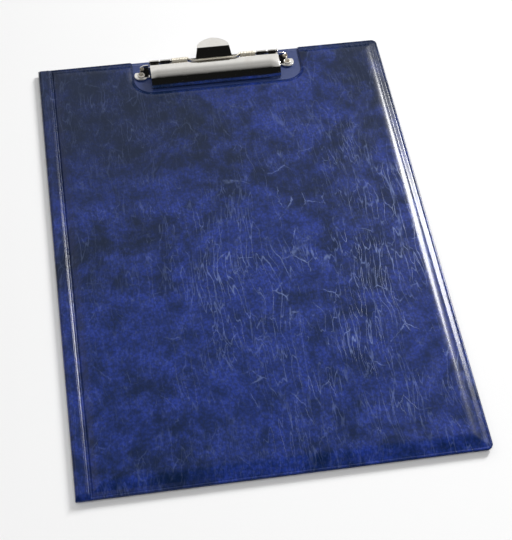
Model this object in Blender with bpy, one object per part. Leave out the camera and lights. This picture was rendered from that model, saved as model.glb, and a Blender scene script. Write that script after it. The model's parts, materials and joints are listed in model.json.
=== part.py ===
# A4 clipboard folder: two boards sealed in film, a film spine, and a sprung lever clip.
# Metres, +Z up. The origin is the centre of the rear cover's underside, +Y points to the clip end,
# and the folder lies closed with its spine at -X.

import math

import bmesh
import bpy
from mathutils import Matrix, Vector

MM = 0.001

# Folder
FOLDER_WIDTH = 226 * MM
FOLDER_LENGTH = 318 * MM
FILM = 0.3 * MM
BOARD = 1.4 * MM
FILM_GAP = 0.25 * MM
COVER_GAP = 0.3 * MM
CORNER_RADIUS = 3.5 * MM
SIDE_FLANGE = 4.6 * MM
END_FLANGE = 3.6 * MM
STEP_RUN = 1.2 * MM
BOARD_EDGE_GAP = 0.4 * MM

# Spine, measured from the folded left edge
SPINE_RIDGE = 6.2 * MM
SPINE_CREASE = 8.9 * MM
SPINE_BOARD_START = 9.8 * MM
SPINE_SPLIT = 0.3 * MM
GROOVE_SLOPE = 1.3 * MM
SPINE_DISH = 0.25 * MM
LINING_FOLD_GAP = 0.9 * MM
PIVOT_LIFT = 0.15 * MM

# Clip, along X from the clip's centre
CLIP_CENTRE_X = 2.1 * MM
JAW_HALF_WIDTH = 42.4 * MM
KNUCKLE_WIDTH = 6.2 * MM
KNUCKLE_GAP = 0.8 * MM
BASE_KNUCKLE_WIDTH = 6.9 * MM
RIVET_SIDE_GAP = 6.1 * MM
EAR_RADIUS = 4.4 * MM
WALL_END_OVERHANG = 6.6 * MM
WALL_END_GAP = 0.9 * MM
WALL_CHAMFER = 2.6 * MM

# Clip, along Y and Z
PIN_SETBACK = 8.2 * MM
PIN_HEIGHT = 6.6 * MM
SEAT_GAP = 0.3 * MM
SHEET = 0.7 * MM
PIN_RADIUS = 0.75 * MM
PIN_CLEARANCE = 0.15 * MM
PIN_OVERHANG = 0.5 * MM
RIVET_TO_PIN = 4.5 * MM
BASE_DEPTH = 6.8 * MM
WALL_LOW_GAP = 0.5 * MM
WALL_END_DROP = 0.3 * MM
JAW_BACK = 2.4 * MM
JAW_RISE = 0.25 * MM
JAW_DEPTH = 13.4 * MM
JAW_FALL = 0.75 * MM
JAW_CROWN = 0.35 * MM
LIP_BEND = 0.75 * MM
LIP_REACH = 17.1 * MM
LIP_END_HEIGHT = 0.2 * MM
LIP_TOE_RUN = 0.45 * MM
LIP_TOE_HEIGHT = 1.3 * MM

# Thumb tab
TAB_FOOT_WIDTH = 24.5 * MM
TAB_BEND_WIDTH = 21.3 * MM
TAB_RISE = 6.5 * MM
TAB_LEAN = 3.85 * MM
TAB_REACH = 8.7 * MM
TAB_DROOP = 0.3 * MM
TAB_FOOT_BEND = 0.65 * MM
TAB_FOOT_LIFT = 0.2 * MM
TAB_CREASE = 0.3 * MM
TAB_TIP_ANGLE = 82

# Turns of the rolled knuckles, degrees
BASE_ROLL = 290
JAW_ROLL = -255

# Spring
WIRE_RADIUS = 0.5 * MM
COIL_CLEARANCE = 0.25 * MM
COIL_PITCH = 1.1 * MM
COIL_TURNS = 10
COIL_END_GAP = 0.9 * MM
BRIDGE_GAP = 0.25 * MM
BRIDGE_SETOFF = 0.4 * MM
BRIDGE_CORNER = 0.6 * MM
LEG_END_HEIGHT = 1.5 * MM
LEG_OFFSET = 0.1 * MM

# Rivets
RIVET_BORE = 1.4 * MM
RIVET_WALL = 0.4 * MM
RIVET_RING_RADIUS = 2.5 * MM
RIVET_RING_HEIGHT = 0.55 * MM
RIVET_HEAD_RADIUS = 3.6 * MM
RIVET_HEAD_THICK = 0.25 * MM
RIVET_GAP = 0.3 * MM
RIVET_RECESS = 0.05 * MM

# Notch in the front cover, cleared from the clip
NOTCH_GAP_LEFT = 0.6 * MM
NOTCH_GAP_RIGHT = 4.2 * MM
NOTCH_GAP_FRONT = 3.0 * MM
NOTCH_RADIUS = 12.0 * MM
NOTCH_LIP_RADIUS = 1.5 * MM
NOTCH_FLANGE = 1.1 * MM

# Worked out from the sizes above
COVER_THICK = 2 * FILM + BOARD + 2 * FILM_GAP
FOLDER_THICK = 2 * COVER_THICK + COVER_GAP
FLANGE_DEPTH = COVER_THICK - 2 * FILM - FILM_GAP
FOLD_RADIUS = FOLDER_THICK / 2
LEFT = -FOLDER_WIDTH / 2
RIGHT = FOLDER_WIDTH / 2
TOP = FOLDER_LENGTH / 2
BOTTOM = -FOLDER_LENGTH / 2
PIN_Y = TOP - PIN_SETBACK
SEAT_Z = COVER_THICK + SEAT_GAP
PIN_Z = SEAT_Z + PIN_HEIGHT
ROLL_RADIUS = PIN_RADIUS + PIN_CLEARANCE + SHEET / 2
COIL_RADIUS = PIN_RADIUS + COIL_CLEARANCE + WIRE_RADIUS
RIVET_TUBE = RIVET_BORE + RIVET_WALL
RIVET_SPACING = 2 * (JAW_HALF_WIDTH + RIVET_SIDE_GAP)
RIVET_Y = PIN_Y - RIVET_TO_PIN
RIVET_XS = (CLIP_CENTRE_X - RIVET_SPACING / 2, CLIP_CENTRE_X + RIVET_SPACING / 2)
BASE_KNUCKLE_OUT = JAW_HALF_WIDTH - KNUCKLE_WIDTH - KNUCKLE_GAP
BASE_KNUCKLE_IN = BASE_KNUCKLE_OUT - BASE_KNUCKLE_WIDTH
COIL_START = BASE_KNUCKLE_IN - COIL_END_GAP

SPINE_PIVOT = Vector((LEFT, 0, FOLDER_THICK / 2))
COVER_PIVOT = Vector((LEFT + SPINE_CREASE, 0, FOLDER_THICK + PIVOT_LIFT))
JAW_PIVOT = Vector((CLIP_CENTRE_X, PIN_Y, PIN_Z))

for old in list(bpy.data.objects):
    bpy.data.objects.remove(old)


def make_material(name, color, roughness, metallic):
    material = bpy.data.materials.new(name)
    material.use_nodes = True
    shader = material.node_tree.nodes["Principled BSDF"]
    shader.inputs["Base Color"].default_value = (*color, 1)
    shader.inputs["Roughness"].default_value = roughness
    shader.inputs["Metallic"].default_value = metallic
    return material


def make_pivot(name, place, parent=None):
    pivot = bpy.data.objects.new(name, None)
    bpy.context.collection.objects.link(pivot)
    pivot.location = place
    if parent:
        pivot.parent = parent
        pivot.location = place - parent.location
    return pivot


def add_object(name, data, material, pivot=None, pivot_place=None):
    obj = bpy.data.objects.new(name, data)
    bpy.context.collection.objects.link(obj)
    data.materials.append(material)
    if pivot:
        obj.parent = pivot
        obj.matrix_parent_inverse = Matrix.Translation(-pivot_place)
    return obj


def mesh_from(bm, name):
    mesh = bpy.data.meshes.new(name)
    bm.to_mesh(mesh)
    bm.free()
    return mesh


def bake(obj):
    """Replace the object's mesh with the result of its modifiers."""
    bpy.context.view_layer.update()
    graph = bpy.context.evaluated_depsgraph_get()
    mesh = bpy.data.meshes.new_from_object(obj.evaluated_get(graph))
    obj.modifiers.clear()
    obj.data = mesh


def thicken(obj, thickness, offset):
    solid = obj.modifiers.new("thickness", "SOLIDIFY")
    solid.thickness = thickness
    solid.offset = offset
    solid.use_even_offset = True
    solid.use_quality_normals = True
    bake(obj)


def face_towards(bm, sample, z_sign):
    """Turn every face so that the sample face looks up or down."""
    bmesh.ops.recalc_face_normals(bm, faces=bm.faces[:])
    if sample.normal.z * z_sign < 0:
        bmesh.ops.reverse_faces(bm, faces=bm.faces[:])


def cut_round_holes(obj, radius):
    """Drill both rivet holes through a flat piece."""
    bm = bmesh.new()
    for x in RIVET_XS:
        bmesh.ops.create_cone(bm, cap_ends=True, segments=32, radius1=radius, radius2=radius,
                              depth=4 * FOLDER_THICK, matrix=Matrix.Translation((x, RIVET_Y, 0)))
    cutter = bpy.data.objects.new("hole_cutter", mesh_from(bm, "hole_cutter"))
    bpy.context.collection.objects.link(cutter)
    hole = obj.modifiers.new("holes", "BOOLEAN")
    hole.operation = "DIFFERENCE"
    hole.object = cutter
    bake(obj)
    bpy.data.objects.remove(cutter)


def arc(cx, cy, radius, start, end, steps=8):
    angles = [math.radians(start + (end - start) * i / steps) for i in range(steps + 1)]
    return [(cx + radius * math.cos(a), cy + radius * math.sin(a)) for a in angles]


def cover_outline(left, side_inset, end_inset, notch_inset=None):
    """Plan outline of a cover layer, from the bottom left corner to the top left corner."""
    right = RIGHT - side_inset
    bottom = BOTTOM + end_inset
    top = TOP - end_inset
    radius = max(CORNER_RADIUS - end_inset / 2, CORNER_RADIUS / 3)
    points = [(left, bottom)]
    points += arc(right - radius, bottom + radius, radius, -90, 0)
    points += arc(right - radius, top - radius, radius, 0, 90)
    if notch_inset is not None:
        lip = NOTCH_LIP_RADIUS
        corner = NOTCH_RADIUS + notch_inset
        notch_left = RIVET_XS[0] - EAR_RADIUS - NOTCH_GAP_LEFT - notch_inset
        notch_right = RIVET_XS[1] + EAR_RADIUS + NOTCH_GAP_RIGHT + notch_inset
        notch_bottom = PIN_Y - LIP_REACH - NOTCH_GAP_FRONT - notch_inset
        points += arc(notch_right + lip, top - lip, lip, 90, 180, 4)
        points += arc(notch_right - corner, notch_bottom + corner, corner, 0, -90)
        points += arc(notch_left + corner, notch_bottom + corner, corner, -90, -180)
        points += arc(notch_left - lip, top - lip, lip, 0, 90, 4)
    points.append((left, top))
    return points


def flat_layer(name, outline, low, high, material, pivot=None, pivot_place=None):
    bm = bmesh.new()
    face = bm.faces.new([bm.verts.new((x, y, low)) for x, y in outline])
    grown = bmesh.ops.extrude_face_region(bm, geom=[face])
    top_verts = [item for item in grown["geom"] if isinstance(item, bmesh.types.BMVert)]
    bmesh.ops.translate(bm, verts=top_verts, vec=(0, 0, high - low))
    bmesh.ops.recalc_face_normals(bm, faces=bm.faces[:])
    return add_object(name, mesh_from(bm, name), material, pivot, pivot_place)


def spine_profile():
    """Outer surface of half the spine, from the groove to the fold: (from left edge, depth)."""
    profile = [(SPINE_RIDGE + GROOVE_SLOPE, FLANGE_DEPTH),
               (SPINE_RIDGE + GROOVE_SLOPE / 3, SPINE_DISH),
               (SPINE_RIDGE, 0),
               (SPINE_RIDGE - GROOVE_SLOPE / 3, SPINE_DISH / 2),
               ((SPINE_RIDGE + FOLD_RADIUS) / 2, SPINE_DISH)]
    steps = 8
    for i in range(steps):
        angle = math.radians(90 * i / (steps - 0.5))
        profile.append((FOLD_RADIUS * (1 - math.sin(angle)), FOLD_RADIUS * (1 - math.cos(angle))))
    return profile


def add_strip(bm, low_vert, high_vert, profile, place_z):
    """Extend a sheet along the spine profile from its two end vertices."""
    face = None
    for from_left, depth in profile:
        low_next = bm.verts.new((LEFT + from_left, BOTTOM, place_z(depth)))
        high_next = bm.verts.new((LEFT + from_left, TOP, place_z(depth)))
        face = bm.faces.new((low_vert, high_vert, high_next, low_next))
        low_vert = low_next
        high_vert = high_next
    return face


def formed_film(name, notched, with_spine, place_z, z_sign, material, pivot=None, place=None):
    """A film drawn over its board: flat flange, sloping step and flat panel."""
    left = LEFT + SPINE_CREASE + SPINE_SPLIT / 2
    board_left = LEFT + SPINE_BOARD_START
    insets = [(left, 0, 0, 0, FLANGE_DEPTH),
              (board_left, SIDE_FLANGE, END_FLANGE, NOTCH_FLANGE, FLANGE_DEPTH),
              (board_left + STEP_RUN, SIDE_FLANGE + STEP_RUN, END_FLANGE + STEP_RUN,
               NOTCH_FLANGE + STEP_RUN, 0)]
    bm = bmesh.new()
    loops = []
    for start, side, end, notch, depth in insets:
        outline = cover_outline(start, side, end, notch if notched else None)
        loops.append([bm.verts.new((x, y, place_z(depth))) for x, y in outline])
    for inner, outer in zip(loops[1:], loops):
        count = len(outer)
        for i in range(count):
            j = (i + 1) % count
            bm.faces.new((outer[i], outer[j], inner[j], inner[i]))
    panel = bm.faces.new(loops[-1])
    if with_spine:
        add_strip(bm, loops[0][0], loops[0][-1], spine_profile(), place_z)
    face_towards(bm, panel, z_sign)
    obj = add_object(name, mesh_from(bm, name), material, pivot, place)
    thicken(obj, FILM, -1)
    return obj


def board_outline(notched):
    grow = STEP_RUN + BOARD_EDGE_GAP
    notch = NOTCH_FLANGE + grow if notched else None
    return cover_outline(LEFT + SPINE_BOARD_START + grow, SIDE_FLANGE + grow, END_FLANGE + grow, notch)


def make_rear_cover(outer, lining, grey_board):
    film = formed_film("rear_outer_film", False, True, lambda depth: depth, -1, outer)
    cut_round_holes(film, RIVET_HEAD_RADIUS + RIVET_GAP)
    low = FILM + FILM_GAP
    board = flat_layer("rear_board", board_outline(False), low, low + BOARD, grey_board)
    cut_round_holes(board, RIVET_TUBE + RIVET_GAP)
    outline = cover_outline(LEFT + LINING_FOLD_GAP, 0, 0)
    inner = flat_layer("rear_inner_film", outline, COVER_THICK - FILM, COVER_THICK, lining)
    cut_round_holes(inner, RIVET_TUBE + RIVET_GAP)


def make_spine(outer, lining, pivot):
    bm = bmesh.new()
    start = LEFT + SPINE_CREASE - SPINE_SPLIT / 2

    def place_z(depth):
        return FOLDER_THICK - depth

    first = [bm.verts.new((start, y, place_z(FLANGE_DEPTH))) for y in (BOTTOM, TOP)]
    add_strip(bm, first[0], first[1], spine_profile(), place_z)
    bm.faces.ensure_lookup_table()
    face_towards(bm, bm.faces[0], 1)
    film = add_object("spine_outer_film", mesh_from(bm, "spine_outer_film"), outer, pivot, SPINE_PIVOT)
    thicken(film, FILM, -1)
    fold = LEFT + LINING_FOLD_GAP
    outline = [(fold, BOTTOM), (start, BOTTOM), (start, TOP), (fold, TOP)]
    low = COVER_THICK + COVER_GAP
    flat_layer("spine_inner_film", outline, low, low + FILM, lining, pivot, SPINE_PIVOT)


def make_front_cover(outer, lining, grey_board, pivot):
    formed_film("front_outer_film", True, False, lambda depth: FOLDER_THICK - depth, 1,
                outer, pivot, COVER_PIVOT)
    high = FOLDER_THICK - FILM - FILM_GAP
    flat_layer("front_board", board_outline(True), high - BOARD, high, grey_board, pivot, COVER_PIVOT)
    outline = cover_outline(LEFT + SPINE_CREASE + SPINE_SPLIT / 2, 0, 0, 0)
    low = COVER_THICK + COVER_GAP
    flat_layer("front_inner_film", outline, low, low + FILM, lining, pivot, COVER_PIVOT)


def clip_vert(bm, x, forward, height):
    """A vertex in clip terms: across from the clip's centre, forward of the pin, above the seat."""
    return bm.verts.new((CLIP_CENTRE_X + x, PIN_Y - forward, SEAT_Z + height))


def roll_points(start, sweep, steps=16):
    """Middle of a rolled knuckle round the pin, angles from straight forward, up positive."""
    angles = [math.radians(start + sweep * i / steps) for i in range(steps + 1)]
    return [(ROLL_RADIUS * math.cos(a), PIN_HEIGHT + ROLL_RADIUS * math.sin(a)) for a in angles]


def sheet_rows(bm, first_row, path, half_widths=None):
    """Grow a row of vertices along a path of (forward, height), optionally scaling its width."""
    row = first_row
    start_half = abs(first_row[0].co.x - CLIP_CENTRE_X)
    for i, (forward, height) in enumerate(path):
        scale = half_widths[i] / start_half if half_widths else 1
        grown = [clip_vert(bm, (vert.co.x - CLIP_CENTRE_X) * scale, forward, height)
                 for vert in first_row]
        for j in range(len(row) - 1):
            bm.faces.new((row[j], row[j + 1], grown[j + 1], grown[j]))
        row = grown
    return row


def make_base_plate(steel):
    wall = ROLL_RADIUS
    middle = SHEET / 2
    low_top = PIN_HEIGHT - COIL_RADIUS - WIRE_RADIUS - WALL_LOW_GAP
    end_in = JAW_HALF_WIDTH + WALL_END_GAP
    end_out = JAW_HALF_WIDTH + WALL_END_OVERHANG
    end_top = PIN_HEIGHT - WALL_END_DROP
    halves = [BASE_KNUCKLE_IN, BASE_KNUCKLE_OUT, end_in, end_out - WALL_CHAMFER, end_out]
    columns = [-h for h in reversed(halves)] + halves
    bm = bmesh.new()
    foot = [clip_vert(bm, x, wall, middle) for x in columns]
    low = [clip_vert(bm, x, wall, low_top) for x in columns]
    for i in range(len(columns) - 1):
        bm.faces.new((foot[i], foot[i + 1], low[i + 1], low[i]))
    last = len(columns) - 1
    for outer, inner, edge in ((0, 1, 2), (last, last - 1, last - 2)):
        top_outer = clip_vert(bm, columns[outer], wall, end_top - WALL_CHAMFER / 2)
        top_inner = clip_vert(bm, columns[inner], wall, end_top)
        top_edge = clip_vert(bm, columns[edge], wall, end_top)
        bm.faces.new((low[outer], low[inner], top_inner, top_outer))
        bm.faces.new((low[inner], low[edge], top_edge, top_inner))
    knuckle_path = roll_points(0, BASE_ROLL)
    for left_index in (3, last - 4):
        sheet_rows(bm, low[left_index:left_index + 2], knuckle_path)

    # flat part: straight front edge and a round ear at each end
    ear_x = RIVET_SPACING / 2
    back_angle = math.degrees(math.asin((RIVET_TO_PIN - wall) / EAR_RADIUS))
    front_angle = 180 - math.degrees(math.asin((BASE_DEPTH - RIVET_TO_PIN) / EAR_RADIUS))
    right_ear = arc(ear_x, RIVET_TO_PIN, EAR_RADIUS, -back_angle, front_angle, 16)
    left_ear = [(-x, forward) for x, forward in reversed(right_ear)]
    rim = [clip_vert(bm, x, forward, middle) for x, forward in right_ear + left_ear]
    floor = bm.faces.new(foot + rim)
    face_towards(bm, floor, 1)
    plate = add_object("clip_base_plate", mesh_from(bm, "clip_base_plate"), steel)
    thicken(plate, SHEET, 0)
    cut_round_holes(plate, RIVET_TUBE + RIVET_GAP)


def jaw_path():
    """Middle of the jaw plate from the lip's edge to the back edge: (forward, height)."""
    back_height = PIN_HEIGHT + JAW_RISE
    front_height = back_height - JAW_FALL
    crown = []
    steps = 6
    for i in range(steps + 1):
        t = i / steps
        forward = JAW_DEPTH + (JAW_BACK - JAW_DEPTH) * t
        height = front_height + JAW_FALL * t + JAW_CROWN * 4 * t * (1 - t)
        crown.append((forward, height))
    bend = [(JAW_DEPTH + LIP_BEND, front_height - LIP_BEND),
            (JAW_DEPTH + LIP_BEND * 0.6, front_height - LIP_BEND * 0.37)]
    toe = [(LIP_REACH, LIP_END_HEIGHT), (LIP_REACH - LIP_TOE_RUN, LIP_END_HEIGHT + LIP_TOE_HEIGHT)]
    return toe + bend + crown


def tab_shape():
    """Middle of the thumb tab from its foot to its round tip, with the half width at each row."""
    foot = (JAW_BACK - TAB_FOOT_BEND, PIN_HEIGHT + JAW_RISE + TAB_FOOT_LIFT)
    path = [foot]
    halves = [TAB_FOOT_WIDTH / 2]
    for part in (0.12, 0.55, 0.96):
        path.append((foot[0] - TAB_CREASE - TAB_LEAN * part, foot[1] + TAB_RISE * part))
        halves.append(TAB_FOOT_WIDTH / 2 + (TAB_BEND_WIDTH - TAB_FOOT_WIDTH) / 2 * part)
    bend = (foot[0] - 1.5 * TAB_CREASE - TAB_LEAN, foot[1] + TAB_RISE)
    steps = 8
    for i in range(steps + 1):
        angle = math.radians(TAB_TIP_ANGLE * i / steps)
        reach = TAB_REACH * math.sin(angle)
        path.append((bend[0] - reach, bend[1] - TAB_DROOP * math.sin(angle) ** 2))
        halves.append(TAB_BEND_WIDTH / 2 * math.cos(angle))
    return path, halves


def make_jaw(steel, pivot):
    tab_half = TAB_FOOT_WIDTH / 2
    knuckle_in = JAW_HALF_WIDTH - KNUCKLE_WIDTH
    tab_columns = [tab_half * i / 3 for i in range(-3, 4)]
    columns = [-JAW_HALF_WIDTH, -knuckle_in] + tab_columns + [knuckle_in, JAW_HALF_WIDTH]
    path = jaw_path()
    bm = bmesh.new()
    first = [clip_vert(bm, x, *path[0]) for x in columns]
    back = sheet_rows(bm, first, path[1:])
    tab_path, tab_halves = tab_shape()
    sheet_rows(bm, back[2:-2], tab_path, tab_halves)

    # each knuckle leaves the back edge on the tangent under the pin and rolls up behind it
    reach = math.hypot(JAW_BACK, JAW_RISE)
    tangent = math.degrees(math.atan2(JAW_RISE, JAW_BACK) - math.acos(ROLL_RADIUS / reach))
    knuckle_path = roll_points(tangent, JAW_ROLL)
    for pair in (back[:2], back[-2:]):
        sheet_rows(bm, pair, knuckle_path)
    bm.faces.ensure_lookup_table()
    face_towards(bm, bm.faces[0], 1)
    jaw = add_object("clip_jaw", mesh_from(bm, "clip_jaw"), steel, pivot, JAW_PIVOT)
    thicken(jaw, SHEET, 0)


def make_pin(steel):
    half = JAW_HALF_WIDTH + PIN_OVERHANG
    turn = Matrix.Translation(JAW_PIVOT) @ Matrix.Rotation(math.radians(90), 4, "Y")
    bm = bmesh.new()
    bmesh.ops.create_cone(bm, cap_ends=True, segments=20, radius1=PIN_RADIUS, radius2=PIN_RADIUS,
                          depth=2 * half, matrix=turn)
    ends = [edge for edge in bm.edges if abs(edge.verts[0].co.x - edge.verts[1].co.x) < half]
    bmesh.ops.bevel(bm, geom=ends, offset=PIN_RADIUS / 3, segments=2, affect="EDGES", profile=0.5)
    add_object("hinge_pin", mesh_from(bm, "hinge_pin"), steel)


def spring_half(side):
    """Centre line of one half of the spring, from the leg behind the wall to the bridge."""
    leg_end = (LEG_OFFSET, LEG_END_HEIGHT - PIN_HEIGHT)
    leg_angle = math.atan2(leg_end[1], leg_end[0]) - math.acos(COIL_RADIUS / math.hypot(*leg_end))
    leg_angle += 2 * math.pi
    bridge = (JAW_BACK + BRIDGE_SETOFF, JAW_RISE + SHEET / 2 + BRIDGE_GAP + WIRE_RADIUS)
    bridge_angle = math.atan2(bridge[1], bridge[0]) + math.acos(COIL_RADIUS / math.hypot(*bridge))
    sweep = leg_angle - bridge_angle + 2 * math.pi * COIL_TURNS
    points = [(COIL_START, *leg_end)]
    steps = round(sweep / math.radians(30))
    for i in range(steps + 1):
        angle = leg_angle - sweep * i / steps
        across = COIL_START - COIL_PITCH * sweep / (2 * math.pi) * i / steps
        points.append((across, COIL_RADIUS * math.cos(angle), COIL_RADIUS * math.sin(angle)))
    coil_end = points[-1]
    corner = (TAB_FOOT_WIDTH / 2 - WIRE_RADIUS, *bridge)
    for part in (0.35, 0.7):
        points.append(tuple(a + (b - a) * part for a, b in zip(coil_end, corner)))
    points.append((corner[0] + BRIDGE_CORNER / 2, corner[1] - BRIDGE_CORNER / 4, corner[2]))
    points.append((corner[0] - BRIDGE_CORNER, corner[1], corner[2]))
    return [Vector((CLIP_CENTRE_X + side * across, PIN_Y - forward, PIN_Z + up))
            for across, forward, up in points]


def make_spring(steel):
    points = spring_half(-1) + list(reversed(spring_half(1)))
    curve = bpy.data.curves.new("clip_spring", "CURVE")
    curve.dimensions = "3D"
    curve.bevel_depth = WIRE_RADIUS
    curve.bevel_resolution = 1
    curve.use_fill_caps = True
    spline = curve.splines.new("POLY")
    spline.points.add(len(points) - 1)
    for point, place in zip(spline.points, points):
        point.co = (*place, 1)
    add_object("clip_spring", curve, steel)


def make_rivet(name, x, steel):
    """A hollow rivet: flat head under the board, tube, and a rounded ring on the ear."""
    ring_low = SEAT_Z + SHEET + RIVET_GAP
    ring_high = ring_low + RIVET_RING_HEIGHT
    ring_middle = (RIVET_BORE + RIVET_RING_RADIUS) / 2
    head_low = RIVET_RECESS
    head_high = RIVET_RECESS + RIVET_HEAD_THICK
    profile = [(RIVET_BORE, head_low), (RIVET_HEAD_RADIUS, head_low), (RIVET_HEAD_RADIUS, head_high),
               (RIVET_TUBE, head_high), (RIVET_TUBE, ring_low), (RIVET_RING_RADIUS, ring_low),
               (RIVET_RING_RADIUS, ring_low + RIVET_RING_HEIGHT / 2),
               (ring_middle, ring_high), (RIVET_BORE, ring_low + RIVET_RING_HEIGHT / 2)]
    bm = bmesh.new()
    verts = [bm.verts.new((radius, 0, z)) for radius, z in profile]
    count = len(verts)
    edges = [bm.edges.new((verts[i], verts[(i + 1) % count])) for i in range(count)]
    bmesh.ops.spin(bm, geom=verts + edges, cent=(0, 0, 0), axis=(0, 0, 1),
                   angle=2 * math.pi, steps=28, use_merge=True)
    bmesh.ops.recalc_face_normals(bm, faces=bm.faces[:])
    rivet = add_object(name, mesh_from(bm, name), steel)
    rivet.location = (x, RIVET_Y, 0)


outer_film = make_material("outer_film", (0.03, 0.045, 0.18), 0.3, 0)
lining_film = make_material("lining_film", (0.06, 0.10, 0.33), 0.4, 0)
grey_board = make_material("grey_board", (0.35, 0.33, 0.30), 0.9, 0)
nickel = make_material("nickel", (0.75, 0.73, 0.68), 0.2, 1)
spring_steel = make_material("spring_steel", (0.62, 0.56, 0.45), 0.25, 1)

spine_pivot = make_pivot("spine_pivot", SPINE_PIVOT)
cover_pivot = make_pivot("cover_pivot", COVER_PIVOT, spine_pivot)
jaw_pivot = make_pivot("jaw_pivot", JAW_PIVOT)

make_rear_cover(outer_film, lining_film, grey_board)
make_spine(outer_film, lining_film, spine_pivot)
make_front_cover(outer_film, lining_film, grey_board, cover_pivot)
make_base_plate(nickel)
make_jaw(nickel, jaw_pivot)
make_pin(nickel)
make_spring(spring_steel)
make_rivet("left_rivet", RIVET_XS[0], nickel)
make_rivet("right_rivet", RIVET_XS[1], nickel)
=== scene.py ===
import json
import math

import bmesh
import bpy
from mathutils import Matrix, Vector, noise
from mathutils.geometry import delaunay_2d_cdt


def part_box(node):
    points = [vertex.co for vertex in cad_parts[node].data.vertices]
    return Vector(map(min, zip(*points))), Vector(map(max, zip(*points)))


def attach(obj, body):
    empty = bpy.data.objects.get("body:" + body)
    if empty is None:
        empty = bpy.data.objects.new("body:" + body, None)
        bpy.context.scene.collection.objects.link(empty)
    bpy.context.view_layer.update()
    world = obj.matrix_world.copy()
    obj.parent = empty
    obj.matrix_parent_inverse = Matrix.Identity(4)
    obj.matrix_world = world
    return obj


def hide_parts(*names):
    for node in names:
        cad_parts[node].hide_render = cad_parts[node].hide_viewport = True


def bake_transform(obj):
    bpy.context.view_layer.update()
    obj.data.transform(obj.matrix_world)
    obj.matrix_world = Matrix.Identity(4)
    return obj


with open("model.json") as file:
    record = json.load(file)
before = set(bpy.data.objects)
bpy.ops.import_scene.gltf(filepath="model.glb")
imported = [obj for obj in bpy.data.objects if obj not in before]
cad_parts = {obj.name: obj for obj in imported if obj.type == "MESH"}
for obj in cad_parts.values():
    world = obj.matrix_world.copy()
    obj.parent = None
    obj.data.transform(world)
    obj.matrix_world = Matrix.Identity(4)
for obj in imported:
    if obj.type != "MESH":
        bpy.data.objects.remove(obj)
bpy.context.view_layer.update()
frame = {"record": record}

mm = 0.001

# camera

cameraValues = {
    "place": (-0.08495, -0.51841, 0.67123),
    "turnDegrees": (37.0448, -1.0431, -8.7581),
    "lens": 94.67,
    "sensor": 36.0,
}


def makeCamera(values):
    data = bpy.data.cameras.new("viewCamera")
    data.lens = values["lens"]
    data.sensor_width = values["sensor"]
    data.clip_start = 0.01
    camera = bpy.data.objects.new("viewCamera", data)
    camera.location = values["place"]
    camera.rotation_euler = [math.radians(a) for a in values["turnDegrees"]]
    bpy.context.collection.objects.link(camera)
    bpy.context.scene.camera = camera


makeCamera(cameraValues)
bpy.context.scene.view_settings.view_transform = "Standard"
print("camera placed")

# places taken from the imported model

rearLow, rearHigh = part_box("rear_outer_film")
_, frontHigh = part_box("front_outer_film")
jawLow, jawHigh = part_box("clip_jaw")
baseLow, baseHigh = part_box("clip_base_plate")
pinLow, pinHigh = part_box("hinge_pin")
rivetBoxes = [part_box("left_rivet"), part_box("right_rivet")]
joints = {j["name"]: j for j in frame["record"]["behaviour"]["joints"]}

leftX, rightX = rearLow[0], rearHigh[0]
bottomY, topY = rearLow[1], rearHigh[1]
folderHigh = frontHigh[2]
foldRadius = folderHigh / 2
clipX = (jawLow[0] + jawHigh[0]) / 2
jawHalf = (jawHigh[0] - jawLow[0]) / 2
pinY, pinZ = joints["jaw_hinge"]["pos_m"][1:]
seatZ = baseLow[2]
pinHeight = pinZ - seatZ
pinRadius = (pinHigh[2] - pinLow[2]) / 2
rivetXs = [(low[0] + high[0]) / 2 for low, high in rivetBoxes]
rivetY = (rivetBoxes[0][0][1] + rivetBoxes[0][1][1]) / 2
rearInnerLow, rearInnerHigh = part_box("rear_inner_film")
frontInnerLow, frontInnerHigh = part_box("front_inner_film")


# node wiring helpers

# fromMin stands for the socket "From Min"
def socketLabel(name):
    return "".join(" " + letter if letter.isupper() else letter for letter in name).title()


def setSocket(tree, socket, value):
    if isinstance(value, bpy.types.NodeSocket):
        tree.links.new(value, socket)
    else:
        socket.default_value = value


# inputs are given by name, or by place as i0, i1 and so on
def addNode(tree, kind, settings=None, **inputs):
    node = tree.nodes.new(kind)
    for name, value in (settings or {}).items():
        setattr(node, name, value)
    for name, value in inputs.items():
        place = int(name[1:]) if name[0] == "i" and name[1:].isdigit() else socketLabel(name)
        setSocket(tree, node.inputs[place], value)
    return node


def mathNode(tree, operation, first, second=0.0, clamp=False):
    node = addNode(tree, "ShaderNodeMath", {"operation": operation, "use_clamp": clamp},
                   i0=first, i1=second)
    return node.outputs[0]


def multiply(tree, first, second):
    return mathNode(tree, "MULTIPLY", first, second)


# one less the value, kept between nought and one
def invert(tree, value):
    return mathNode(tree, "SUBTRACT", 1.0, value, True)


def vectorNode(tree, operation, **inputs):
    node = addNode(tree, "ShaderNodeVectorMath", {"operation": operation}, **inputs)
    return node.outputs["Value" if operation == "DISTANCE" else "Vector"]


# a smooth step from start to end as the factor goes from low to high
def rampNode(tree, factor, low, high, start=0.0, end=1.0):
    node = addNode(tree, "ShaderNodeMapRange", {"interpolation_type": "SMOOTHSTEP"}, value=factor,
                   fromMin=low, fromMax=high, toMin=start, toMax=end)
    return node.outputs["Result"]


def spanNode(tree, factor, start, end):
    return addNode(tree, "ShaderNodeMapRange", value=factor, toMin=start, toMax=end).outputs["Result"]


def mixColor(tree, factor, first, second):
    node = addNode(tree, "ShaderNodeMix", {"data_type": "RGBA"}, factor=factor)
    for place, value in ((6, first), (7, second)):
        linked = isinstance(value, bpy.types.NodeSocket)
        setSocket(tree, node.inputs[place], value if linked else (*value, 1))
    return node.outputs[2]


def noiseNode(tree, place, scale, detail=3.0, rough=0.5, distortion=0.0):
    return addNode(tree, "ShaderNodeTexNoise", vector=place, scale=scale, detail=detail,
                   roughness=rough, distortion=distortion)


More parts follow.
